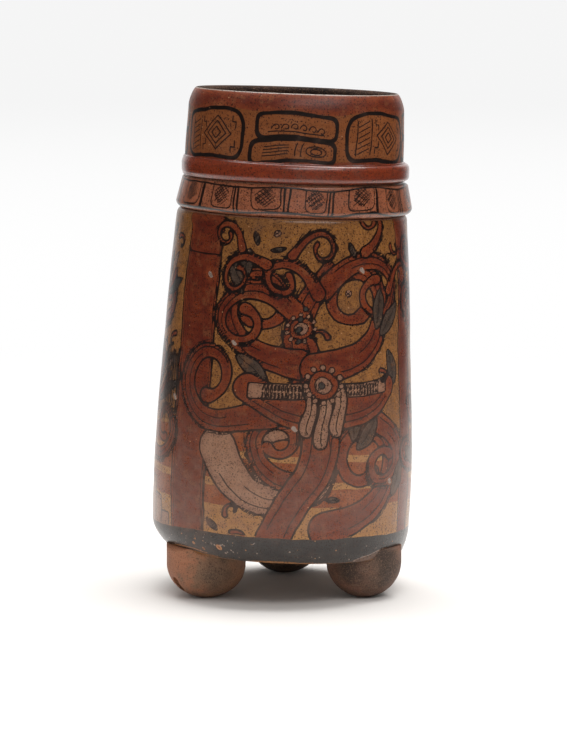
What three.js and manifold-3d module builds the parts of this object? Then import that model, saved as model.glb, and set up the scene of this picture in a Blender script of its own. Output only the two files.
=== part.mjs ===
// A tall tripod drinking cup of slip-painted clay, hand built from a floor slab, two wall
// courses and two applied mouldings, on three hollow round feet that hold loose clay pellets.
// Millimetres, +Z up, standing on z = 0, with the origin under the middle of the bounding box.
import * as THREE from 'three';
import { mergeVertices } from 'three/addons/utils/BufferGeometryUtils.js';
import Module from 'manifold-3d';

// Clay joints: the gap that is left between two pieces that are luted together.
const SEAM = 0.3;

// The lean of the hand-built body on its feet, top to the right.
const LEAN = THREE.MathUtils.degToRad(2.1);

// Floor slab, with its rounded lower edge.
const FLOOR_THICKNESS = 7;
const FLOOR_CLEARANCE = 19.1;
const EDGE_INSET = 3.7;
const EDGE_HEIGHT = 9.5;
const EDGE_POWER = 1.8;
const EDGE_SHIFT = 1.8;

// Body wall: radii of its outside, heights above the underside of the floor.
const BELLY_RADIUS = 54.6;
const BELLY_HEIGHT = 30;
const FOOT_DRAWN_IN = 0.5;
const WALL_FOOT_RADIUS = BELLY_RADIUS - FOOT_DRAWN_IN;
const SHOULDER_RADIUS = 48.2;
const SHOULDER_HEIGHT = 141.4;
const TAPER_POWER = 1.4;
const SHOULDER_STEP = 2.3;
const SHOULDER_ROUND_RADIAL = 2.2;
const SHOULDER_ROUND_HEIGHT = 3;
const WALL_THICKNESS = 6;
const FLOOR_COVE = 4;

// Panel moulding: a strip that flares downwards round the top of the body wall.
const PANEL_HEIGHT = 12.6;
const PANEL_TOP_PROUD = 1.6;
const PANEL_BOTTOM_PROUD = 3.6;
const PANEL_TOP_ROUND = 1.2;
const PANEL_BOTTOM_ROUND = 2.7;

// Groove between the two mouldings.
const GROOVE = 0.5;

// Neck wall and its lip.
const NECK_HEIGHT = 36.2;
const NECK_TAPER = 1;
const LIP_THICKNESS = 4.3;
const LIP_CREST_INSET = 2.6;
const LIP_DROP_OUTSIDE = 7;
const LIP_POWER = 1.4;
const LIP_DROP_INSIDE = 2;

// Collar moulding: a fillet round the foot of the neck.
const COLLAR_HEIGHT = 7.8;
const COLLAR_PROUD = 2;
const COLLAR_ROUND = 1.5;

// Both mouldings were smoothed round a middle that lies to the right of the wall's axis.
const MOULDING_SHIFT = 0.7;

// Feet: hollow bulbs, named by their place seen from the front, and not quite alike in size.
// The depth is the height of a bulb's round part, below its widest place.
const FOOT_RADIUS = 16.2;
const FOOT_DEPTH = 14.9;
const FOOT_INSET = 16;
const FOOT_CIRCLE_RADIUS = WALL_FOOT_RADIUS - FOOT_INSET;
const FOOT_CIRCLE_SHIFT = 2.2;
const FOOT_SHELL = 3.6;
const FOOT_WEAR = 0.5;
const FEET = [
  {
    name: 'left',
    azimuth: 210,
    radius: FOOT_RADIUS * 1.02,
    depth: FOOT_DEPTH * 0.945,
    lap: 1.8,
    slotAzimuth: 213.5,
    slotDip: 28.5,
  },
  {
    name: 'right',
    azimuth: 330,
    radius: FOOT_RADIUS * 0.98,
    depth: FOOT_DEPTH * 1.055,
    lap: 4.4,
    slotAzimuth: 355,
    slotDip: 41,
  },
  {
    name: 'rear',
    azimuth: 90,
    radius: FOOT_RADIUS,
    depth: FOOT_DEPTH,
    lap: 3,
    slotAzimuth: 90,
    slotDip: 38,
  },
];

// Each foot's clay laps up the vessel's edge by its lap, stands out there by this width, and
// slopes away at 45 degrees.
const LAP_WIDTH = 1;

// How high the hollow domes above the bulb's widest place, as a share of its depth.
const HOLLOW_DOME = 0.75;

// Vent slot in each foot, cut down the outside of the bulb.
const SLOT_LENGTH = 7.5;
const SLOT_WIDTH = 3.6;

// Rattle pellets: two in each foot, side by side at the bottom of its hollow.
const PELLET_RADIUS = 4;
const PELLET_GAP = 0.4;

// Facets round each kind of piece.
const WALL_SEGMENTS = 60;
const FOOT_SEGMENTS = 32;
const PELLET_SEGMENTS = 14;
const PELLET_RINGS = 9;

// Slip and clay colours.
const OCHRE = { color: 0x8a6134, roughness: 0.42, metalness: 0 };
const RED = { color: 0x6e2c1b, roughness: 0.35, metalness: 0 };
const ORANGE = { color: 0x92502c, roughness: 0.4, metalness: 0 };
const BLACK = { color: 0x45423f, roughness: 0.4, metalness: 0 };
const CLAY = { color: 0x70503a, roughness: 0.75, metalness: 0 };

const wasm = await Module();
wasm.setup();

// Points of an elliptical arc in a lathe profile, angles in degrees from the radial direction.
function ellipse(centre, radial, vertical, fromDegrees, toDegrees, steps) {
  const points = [];
  for (let i = 0; i <= steps; i++) {
    const angle = THREE.MathUtils.degToRad(fromDegrees + ((toDegrees - fromDegrees) * i) / steps);
    points.push(
      new THREE.Vector2(centre[0] + radial * Math.cos(angle), centre[1] + vertical * Math.sin(angle)),
    );
  }
  return points;
}

// The same for a round arc.
function arc(centre, radius, fromDegrees, toDegrees, steps) {
  return ellipse(centre, radius, radius, fromDegrees, toDegrees, steps);
}

// Evenly spaced points of a radius that is given as a function of height.
function follow(radiusAt, fromHeight, toHeight, steps) {
  const points = [];
  for (let i = 0; i <= steps; i++) {
    const height = fromHeight + ((toHeight - fromHeight) * i) / steps;
    points.push(new THREE.Vector2(radiusAt(height), height));
  }
  return points;
}

// A turned solid with its axis on +Z. The profile starts and ends on the axis, or closes on itself.
function turned(profile, segments) {
  const geometry = new THREE.LatheGeometry(profile, segments);
  geometry.rotateX(Math.PI / 2);
  return geometry;
}

// A turned ring: its profile is closed by repeating the first point.
function turnedRing(profile, segments) {
  return turned([...profile, profile[0].clone()], segments);
}

// A closed three.js geometry as a solid that can be cut.
function solidOf(geometry) {
  const bare = geometry.clone();
  bare.deleteAttribute('normal');
  bare.deleteAttribute('uv');
  const merged = mergeVertices(bare, 1e-4);
  return new wasm.Manifold(
    new wasm.Mesh({
      numProp: 3,
      vertProperties: new Float32Array(merged.attributes.position.array),
      triVerts: new Uint32Array(merged.index.array),
    }),
  );
}

// A cut solid back as a three.js geometry.
function geometryOf(solid) {
  const mesh = solid.getMesh();
  const geometry = new THREE.BufferGeometry();
  geometry.setAttribute('position', new THREE.BufferAttribute(mesh.vertProperties, 3));
  geometry.setIndex(new THREE.BufferAttribute(mesh.triVerts, 1));
  geometry.computeVertexNormals();
  return geometry;
}

function piece(name, geometry, finish) {
  const mesh = new THREE.Mesh(geometry, new THREE.MeshStandardMaterial(finish));
  mesh.name = name;
  return mesh;
}

// Outside of the body wall before its lower edge is rounded: widest at the belly.
function wallRadius(height) {
  if (height < BELLY_HEIGHT) {
    const share = 1 - height / BELLY_HEIGHT;
    return BELLY_RADIUS - FOOT_DRAWN_IN * share * share;
  }
  const share = (height - BELLY_HEIGHT) / (SHOULDER_HEIGHT - BELLY_HEIGHT);
  return SHOULDER_RADIUS + (BELLY_RADIUS - SHOULDER_RADIUS) * (1 - share ** TAPER_POWER);
}

// Outside of the vessel, with the rounded lower edge that the floor slab and the wall share.
function outerRadius(height) {
  if (height >= EDGE_HEIGHT) return wallRadius(height);
  return wallRadius(height) - EDGE_INSET * (1 - height / EDGE_HEIGHT) ** EDGE_POWER;
}

// The lower edge was pared down further on the left: its middle moves to the right.
function pared(geometry) {
  const position = geometry.attributes.position;
  for (let i = 0; i < position.count; i++) {
    const share = THREE.MathUtils.clamp(1 - position.getZ(i) / EDGE_HEIGHT, 0, 1);
    position.setX(i, position.getX(i) + EDGE_SHIFT * share ** EDGE_POWER);
  }
  return geometry;
}

function boreRadius(height) {
  return wallRadius(height) - WALL_THICKNESS;
}

// Heights of the courses above the underside of the floor.
const WALL_FOOT = FLOOR_THICKNESS + SEAM;
const PANEL_FOOT = SHOULDER_HEIGHT + SEAM;
const PANEL_TOP = PANEL_FOOT + PANEL_HEIGHT;
const WALL_TOP = PANEL_TOP + GROOVE;
const NECK_FOOT = WALL_TOP + SEAM;
const NECK_TOP = NECK_FOOT + NECK_HEIGHT;
const LIP_FOOT = NECK_TOP - LIP_DROP_OUTSIDE;

// Radii of the stepped top: the wall behind the mouldings, their inside, the lip and the bore.
const NECK_FOOT_RADIUS = SHOULDER_RADIUS - SHOULDER_STEP;
const MOULDING_BORE_RADIUS = NECK_FOOT_RADIUS + SEAM;
const NECK_TOP_RADIUS = NECK_FOOT_RADIUS - NECK_TAPER;
const LIP_CREST_RADIUS = NECK_TOP_RADIUS - LIP_CREST_INSET;
const LIP_BORE_RADIUS = NECK_TOP_RADIUS - LIP_THICKNESS;
const SHOULDER_BORE_RADIUS = boreRadius(SHOULDER_HEIGHT);

function floorSlab() {
  const profile = [
    new THREE.Vector2(0, 0),
    ...follow(outerRadius, 0, FLOOR_THICKNESS, 6),
    new THREE.Vector2(0, FLOOR_THICKNESS),
  ];
  return piece('base_disc', pared(turned(profile, WALL_SEGMENTS)), BLACK);
}

function bodyWall() {
  const shoulderStart = SHOULDER_HEIGHT - SHOULDER_ROUND_HEIGHT;
  const shoulderMiddle = [wallRadius(shoulderStart) - SHOULDER_ROUND_RADIAL, shoulderStart];
  const coveTop = WALL_FOOT + FLOOR_COVE;
  const profile = [
    ...follow(outerRadius, WALL_FOOT, shoulderStart, 11),
    ...ellipse(shoulderMiddle, SHOULDER_ROUND_RADIAL, SHOULDER_ROUND_HEIGHT, 30, 90, 3),
    new THREE.Vector2(NECK_FOOT_RADIUS, SHOULDER_HEIGHT),
    new THREE.Vector2(NECK_FOOT_RADIUS, WALL_TOP),
    new THREE.Vector2(SHOULDER_BORE_RADIUS, WALL_TOP),
    ...follow(boreRadius, SHOULDER_HEIGHT, coveTop, 7),
    ...arc([boreRadius(coveTop) - FLOOR_COVE, coveTop], FLOOR_COVE, -30, -90, 2),
  ];
  return piece('body_wall', pared(turnedRing(profile, WALL_SEGMENTS)), OCHRE);
}

// A moulding's outside lies off centre, while its inside still fits the wall.
function shifted(geometry) {
  const position = geometry.attributes.position;
  for (let i = 0; i < position.count; i++) {
    const x = position.getX(i);
    const proud = Math.hypot(x, position.getY(i)) - MOULDING_BORE_RADIUS;
    position.setX(i, x + MOULDING_SHIFT * THREE.MathUtils.clamp(proud, 0, 1));
  }
  return geometry;
}

function panelMoulding() {
  const lowRadius = NECK_FOOT_RADIUS + PANEL_BOTTOM_PROUD - PANEL_BOTTOM_ROUND;
  const highRadius = NECK_FOOT_RADIUS + PANEL_TOP_PROUD - PANEL_TOP_ROUND;
  const profile = [
    new THREE.Vector2(MOULDING_BORE_RADIUS, PANEL_FOOT),
    ...arc([lowRadius, PANEL_FOOT + PANEL_BOTTOM_ROUND], PANEL_BOTTOM_ROUND, -90, 0, 4),
    ...arc([highRadius, PANEL_TOP - PANEL_TOP_ROUND], PANEL_TOP_ROUND, 0, 90, 2),
    new THREE.Vector2(MOULDING_BORE_RADIUS, PANEL_TOP),
  ];
  return piece('panel_moulding', shifted(turnedRing(profile, WALL_SEGMENTS)), ORANGE);
}

function neckRadius(height) {
  const share = (height - NECK_FOOT) / NECK_HEIGHT;
  return NECK_FOOT_RADIUS - NECK_TAPER * share * share;
}

// Outside of the lip: the neck turns in towards the crest.
function lipRadius(height) {
  const share = Math.min((height - LIP_FOOT) / LIP_DROP_OUTSIDE, 1);
  const reach = neckRadius(LIP_FOOT) - LIP_CREST_RADIUS;
  return LIP_CREST_RADIUS + reach * (1 - share ** LIP_POWER) ** (1 / LIP_POWER);
}

function neckWall() {
  const inside = [LIP_CREST_RADIUS, NECK_TOP - LIP_DROP_INSIDE];
  const profile = [
    ...follow(neckRadius, NECK_FOOT, LIP_FOOT, 4).slice(0, -1),
    ...follow(lipRadius, LIP_FOOT, NECK_TOP, 5),
    ...ellipse(inside, LIP_CREST_RADIUS - LIP_BORE_RADIUS, LIP_DROP_INSIDE, 120, 180, 2),
    new THREE.Vector2(SHOULDER_BORE_RADIUS, NECK_FOOT),
  ];
  return piece('neck_wall', turnedRing(profile, WALL_SEGMENTS), ORANGE);
}

function collarMoulding() {
  const top = NECK_FOOT + COLLAR_HEIGHT;
  const corner = NECK_FOOT_RADIUS + COLLAR_PROUD - COLLAR_ROUND;
  const profile = [
    new THREE.Vector2(MOULDING_BORE_RADIUS, NECK_FOOT),
    ...arc([corner, NECK_FOOT + COLLAR_ROUND], COLLAR_ROUND, -90, 0, 3),
    ...arc([corner, top - COLLAR_ROUND], COLLAR_ROUND, 0, 90, 3),
    new THREE.Vector2(MOULDING_BORE_RADIUS, top),
  ];
  return piece('collar_moulding', shifted(turnedRing(profile, WALL_SEGMENTS)), RED);
}

// The leaning body: everything above the feet.
function leaningBody() {
  const body = new THREE.Group();
  body.position.z = FLOOR_CLEARANCE;
  body.rotation.y = LEAN;
  body.add(floorSlab(), bodyWall(), panelMoulding(), neckWall(), collarMoulding());
  return body;
}

// Where a foot stands: the middle of its widest place, above the ground by the bulb's depth.
function footCentre(foot) {
  const azimuth = THREE.MathUtils.degToRad(foot.azimuth);
  return new THREE.Vector3(
    FOOT_CIRCLE_SHIFT + FOOT_CIRCLE_RADIUS * Math.cos(azimuth),
    FOOT_CIRCLE_RADIUS * Math.sin(azimuth),
    foot.depth - FOOT_WEAR,
  );
}

// A turned block that leans with the vessel and is pared as its foot is.
function leaningBlock(profile, body) {
  const block = pared(turned(profile, WALL_SEGMENTS));
  body.updateMatrixWorld(true);
  block.applyMatrix4(body.matrixWorld);
  return solidOf(block);
}

// The foot of the vessel with the clay joint round it: what the bulbs are pressed against.
function pressedFoot(body) {
  const grown = (height) => outerRadius(Math.max(height, 0)) + SEAM;
  const profile = [
    new THREE.Vector2(0, -SEAM),
    ...follow(grown, -SEAM, FOOT_CIRCLE_RADIUS / 2, 20),
    new THREE.Vector2(0, FOOT_CIRCLE_RADIUS / 2),
  ];
  return leaningBlock(profile, body);
}

// What is left of a bulb where its clay laps up the vessel's edge and slopes away.
function lapRoom(foot, body) {
  const rim = outerRadius(foot.lap) + LAP_WIDTH;
  const profile = [
    new THREE.Vector2(0, -2 * FLOOR_CLEARANCE),
    new THREE.Vector2(rim + FLOOR_CLEARANCE, -2 * FLOOR_CLEARANCE),
    new THREE.Vector2(rim + FLOOR_CLEARANCE, foot.lap - FLOOR_CLEARANCE),
    new THREE.Vector2(rim, foot.lap),
    new THREE.Vector2(0, foot.lap),
  ];
  return leaningBlock(profile, body);
}

// A bulb about the middle of its widest place: upright above it, worn flat underneath.
function bulb(foot) {
  const flat = foot.depth - FOOT_WEAR;
  const wearAngle = THREE.MathUtils.radToDeg(Math.asin(flat / foot.depth));
  const profile = [
    new THREE.Vector2(0, -flat),
    ...ellipse([0, 0], foot.radius, foot.depth, -wearAngle, 0, 11),
    new THREE.Vector2(foot.radius, FLOOR_CLEARANCE),
    new THREE.Vector2(0, FLOOR_CLEARANCE),
  ];
  return solidOf(turned(profile, FOOT_SEGMENTS));
}

// The hollow of a bulb, about the same middle.
function hollowOf(foot) {
  const radius = foot.radius - FOOT_SHELL;
  const depth = foot.depth - FOOT_SHELL;
  const profile = [
    ...ellipse([0, 0], radius, depth, -90, 0, 9),
    ...ellipse([0, 0], radius, depth * HOLLOW_DOME, 0, 90, 6).slice(1),
  ];
  return solidOf(turned(profile, FOOT_SEGMENTS));
}

// A round-ended bar that cuts the vent slot: it points out of the bulb, below the horizontal.
function slotCutter(foot) {
  const half = SLOT_WIDTH / 2;
  const reach = (SLOT_LENGTH - SLOT_WIDTH) / 2;
  const outline = new THREE.Shape();
  outline.absarc(reach, 0, half, -Math.PI / 2, Math.PI / 2, false);
  outline.absarc(-reach, 0, half, Math.PI / 2, (3 * Math.PI) / 2, false);
  const bar = new THREE.ExtrudeGeometry(outline, {
    depth: 3 * FOOT_SHELL,
    bevelEnabled: false,
    curveSegments: 4,
  });
  bar.translate(0, 0, foot.radius - 2 * FOOT_SHELL);
  bar.rotateY(Math.PI / 2 + THREE.MathUtils.degToRad(foot.slotDip));
  bar.rotateZ(THREE.MathUtils.degToRad(foot.slotAzimuth));
  return solidOf(bar);
}

function footShell(foot, body, vessel) {
  const centre = footCentre(foot);
  const home = [-centre.x, -centre.y, -centre.z];
  const solid = bulb(foot)
    .intersect(lapRoom(foot, body).translate(home))
    .subtract(hollowOf(foot))
    .subtract(slotCutter(foot))
    .subtract(vessel.translate(home));
  const shell = piece(`foot_${foot.name}`, geometryOf(solid), CLAY);
  shell.position.copy(centre);
  return shell;
}

// How far below the bulb's middle a pellet rests on the curve of the hollow, aside of the middle.
function restingDepth(foot, aside) {
  const radius = foot.radius - FOOT_SHELL;
  const depth = foot.depth - FOOT_SHELL;
  const place = new THREE.Vector2();
  let low = 0;
  let high = Math.PI / 2;
  while (high - low > 1e-9) {
    const angle = (low + high) / 2;
    const outward = new THREE.Vector2(Math.sin(angle) / radius, Math.cos(angle) / depth).normalize();
    place.set(radius * Math.sin(angle), depth * Math.cos(angle));
    place.addScaledVector(outward, -PELLET_RADIUS - SEAM);
    if (place.x < aside) low = angle;
    else high = angle;
  }
  return place.y;
}

// The pellets lie against the bottom of the hollow and against each other.
function pellets(foot) {
  const aside = PELLET_RADIUS + PELLET_GAP / 2;
  const drop = restingDepth(foot, aside);
  return [-aside, aside].map((side, index) => {
    const lump = new THREE.SphereGeometry(PELLET_RADIUS, PELLET_SEGMENTS, PELLET_RINGS);
    const pellet = piece(`pellet_${foot.name}_${index + 1}`, lump, CLAY);
    pellet.position.copy(footCentre(foot)).add(new THREE.Vector3(0, side, -drop));
    return pellet;
  });
}

// The cup, moved so that the origin lies under the middle of its bounding box.
function drinkingCup() {
  const cup = new THREE.Group();
  const body = leaningBody();
  const vessel = pressedFoot(body);
  cup.add(body);
  for (const foot of FEET) cup.add(footShell(foot, body, vessel), ...pellets(foot));
  const middle = new THREE.Box3().setFromObject(cup, true).getCenter(new THREE.Vector3());
  cup.position.set(-middle.x, -middle.y, 0);
  return cup;
}

export default drinkingCup();
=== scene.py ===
"""Looks of the tripod drinking cup: burnished slips, brushwork, bare clay and a plain studio."""

from __future__ import annotations

import logging
import math
from dataclasses import dataclass, field
from enum import Enum
from typing import Any, Callable, Sequence

import bpy
import numpy as np
from mathutils import Matrix, Vector

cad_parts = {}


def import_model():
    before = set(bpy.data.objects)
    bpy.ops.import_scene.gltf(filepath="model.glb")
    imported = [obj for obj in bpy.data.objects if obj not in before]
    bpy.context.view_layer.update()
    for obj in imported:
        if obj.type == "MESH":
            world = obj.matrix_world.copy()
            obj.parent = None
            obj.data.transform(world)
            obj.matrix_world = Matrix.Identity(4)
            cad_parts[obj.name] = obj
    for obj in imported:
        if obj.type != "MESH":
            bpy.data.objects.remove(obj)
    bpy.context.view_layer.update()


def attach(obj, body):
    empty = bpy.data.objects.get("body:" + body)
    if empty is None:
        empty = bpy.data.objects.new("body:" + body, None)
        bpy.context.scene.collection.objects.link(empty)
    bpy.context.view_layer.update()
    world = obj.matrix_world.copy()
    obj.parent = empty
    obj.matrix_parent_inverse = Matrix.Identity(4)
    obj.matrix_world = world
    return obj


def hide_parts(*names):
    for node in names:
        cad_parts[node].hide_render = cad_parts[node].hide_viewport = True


MM = 0.001
LOG = logging.getLogger("cup")
Material, Mesh, Thing = bpy.types.Material, bpy.types.Mesh, bpy.types.Object
Spot = tuple[float, float]
Place = tuple[float, float, float]
Points = Sequence[Spot]
Test = Callable[[np.ndarray, np.ndarray], np.ndarray]
FAR = 9.0
FINE = 0.3


# Shader maths


def colour(code: str) -> tuple[float, float, float, float]:
    """Turn a hex colour as it is seen into the linear one that the shader takes."""
    parts = [int(code[i : i + 2], 16) / 255 for i in (0, 2, 4)]
    line = [c / 12.92 if c <= 0.04045 else ((c + 0.055) / 1.055) ** 2.4 for c in parts]
    return (*line, 1.0)


class Wire:
    """A node's output, which takes part in sums and products as a number would."""

    def __init__(self, graph: Graph, socket: bpy.types.NodeSocket) -> None:
        """Keep the graph that the socket belongs to."""
        self.graph = graph
        self.socket = socket

    def math(self, operation: str, *values: Any) -> Wire:
        """Return the result of a Math node on these values."""
        return self.graph.node("ShaderNodeMath", {"operation": operation}, dict(enumerate(values)))

    def __add__(self, other: Any) -> Wire:
        """Return self + other."""
        return self.math("ADD", self, other)

    def __sub__(self, other: Any) -> Wire:
        """Return self - other."""
        return self.math("SUBTRACT", self, other)

    def __rsub__(self, other: Any) -> Wire:
        """Return other - self."""
        return self.math("SUBTRACT", other, self)

    def __mul__(self, other: Any) -> Wire:
        """Return self * other."""
        return self.math("MULTIPLY", self, other)

    __radd__ = __add__
    __rmul__ = __mul__

    def __abs__(self) -> Wire:
        """Return the size without the sign."""
        return self.math("ABSOLUTE", self)

    def over(self, edge: float, soft: float) -> Wire:
        """Return 0 below the edge and 1 above it, with a soft step between."""
        places = {"From Min": edge - soft / 2, "From Max": edge + soft / 2}
        style = {"interpolation_type": "SMOOTHSTEP"}
        return self.graph.node("ShaderNodeMapRange", style, {"Value": self, **places})


class Graph:
    """The node tree of a material or of the world."""

    def __init__(self, owner: bpy.types.ID, coordinates: str = "Object") -> None:
        """Empty the owner's tree and start from these coordinates."""
        owner.use_nodes = True
        self.owner = owner
        self.tree = owner.node_tree
        self.tree.nodes.clear()
        self.place = self.node("ShaderNodeTexCoord", output=coordinates)

    @classmethod
    def material(cls, name: str) -> Graph:
        """Start a new material's tree."""
        return cls(bpy.data.materials.new(name))

    def node(self, kind: str, settings: dict | None = None, inputs: dict | None = None,
             output: int | str = 0) -> Wire:
        """Add a node.

        Args:
            kind: the node's type.
            settings: what is set on the node before its sockets.
            inputs: values or wires by socket name or number.
            output: the socket that is wanted.

        Returns:
            That output as a wire.
        """
        made = self.tree.nodes.new(kind)
        for key, value in (settings or {}).items():
            setattr(made, key, value)
        for key, value in (inputs or {}).items():
            if isinstance(value, Wire):
                self.tree.links.new(value.socket, made.inputs[key])
            else:
                made.inputs[key].default_value = value
        return Wire(self, made.outputs[output])

    def mix(self, share: Any, under: Any, upper: Any) -> Wire:
        """Lay one colour over another by share."""
        parts = [colour(c) if isinstance(c, str) else c for c in (under, upper)]
        sockets = {0: share, 6: parts[0], 7: parts[1]}
        return self.node("ShaderNodeMix", {"data_type": "RGBA"}, sockets, 2)

    def noise(self, size: float, detail: float = 2, stretch: Sequence[float] = (1, 1, 1),
              shift: float = 0, rough: float = 0.5) -> Wire:
        """Return soft noise from 0 to 1.

        Args:
            size: the size of its lumps in millimetres.
            detail: how many finer layers it has.
            stretch: how much longer the lumps are along each axis.
            shift: moves it, so that two noises differ.
            rough: how strong the finer layers are.

        Returns:
            The noise as a wire.
        """
        scale = [1 / s for s in stretch]
        place = self.node("ShaderNodeMapping", {}, {0: self.place, 1: (shift, shift, 0), 3: scale})
        sockets = {"Vector": place, "Scale": 1 / (size * MM), "Detail": detail, "Roughness": rough}
        return self.node("ShaderNodeTexNoise", {}, sockets)

    def specks(self, size: float, share: float, radius: float) -> Wire:
        """Return a mask of round grains.

        Args:
            size: the spacing of the places that may hold one, in millimetres.
            share: the share of the places that do.
            radius: the grain's radius as a share of the spacing.

        Returns:
            1 in a grain and 0 outside.
        """
        sockets = {"Vector": self.place, "Scale": 1 / (size * MM)}
        cell = self.node("ShaderNodeTexVoronoi", {}, sockets)
        pick = Wire(self, cell.socket.node.outputs["Color"])
        pick = self.node("ShaderNodeSeparateColor", {}, {0: pick})
        return (1 - cell.over(radius, radius * 0.7)) * pick.over(1 - share, 0.02)

    def painted(self, name: str) -> Wire:
        """Read a brushwork value that is stored on the mesh."""
        style = {"attribute_type": "GEOMETRY", "attribute_name": name}
        return self.node("ShaderNodeAttribute", style, output="Fac")

    def finish(self, base: Any, rough: Any, relief: Wire, depth: float, **others: Any) -> None:
        """End the tree in its surface.

        Args:
            base: the colour.
            rough: the roughness.
            relief: the height of the fine relief, from 0 to 1.
            depth: how deep the relief is, in millimetres.
            others: plain values for other sockets of the surface, by name.
        """
        bump = self.node("ShaderNodeBump", {}, {"Distance": depth * MM, "Height": relief})
        sockets = {"Base Color": base, "Roughness": rough, "Normal": bump}
        plain = {key.replace("_", " "): value for key, value in others.items()}
        skin = self.node("ShaderNodeBsdfPrincipled", {}, {**sockets, **plain})
        self.surface(skin)

    def axis(self, name: str) -> Wire:
        """Return one part of the coordinates."""
        return self.node("ShaderNodeSeparateXYZ", {}, {0: self.place}, name)

    def ray(self, kind: str) -> Wire:
        """Return 1 for the rays of one kind."""
        return self.node("ShaderNodeLightPath", output=f"Is {kind} Ray")

    def surface(self, shader: Wire, kind: str = "ShaderNodeOutputMaterial") -> None:
        """Lead a shader to the output."""
        out = self.tree.nodes.new(kind)
        self.tree.links.new(shader.socket, out.inputs["Surface"])


# Brushwork


class Slip(Enum):
    """The coloured slips, each with its thin and its full tone."""

    BROWN = ("74401f", "834a26")
    MAUVE = ("825d4a", "967058")
    RED = ("77361c", "53190e")
    ORANGE = ("7a3a18", "87461f")
    GOLD = ("a0713f", "8d6038")
    DARK = ("38332f", "282422")
    LEAF = ("4c3d33", "2a231e")
    PALE = ("8d7b70", "a3968c")
    CHIP = ("a5714b", "bd875c")
    CLAY = ("5f4636", "6e4d3a")


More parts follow.
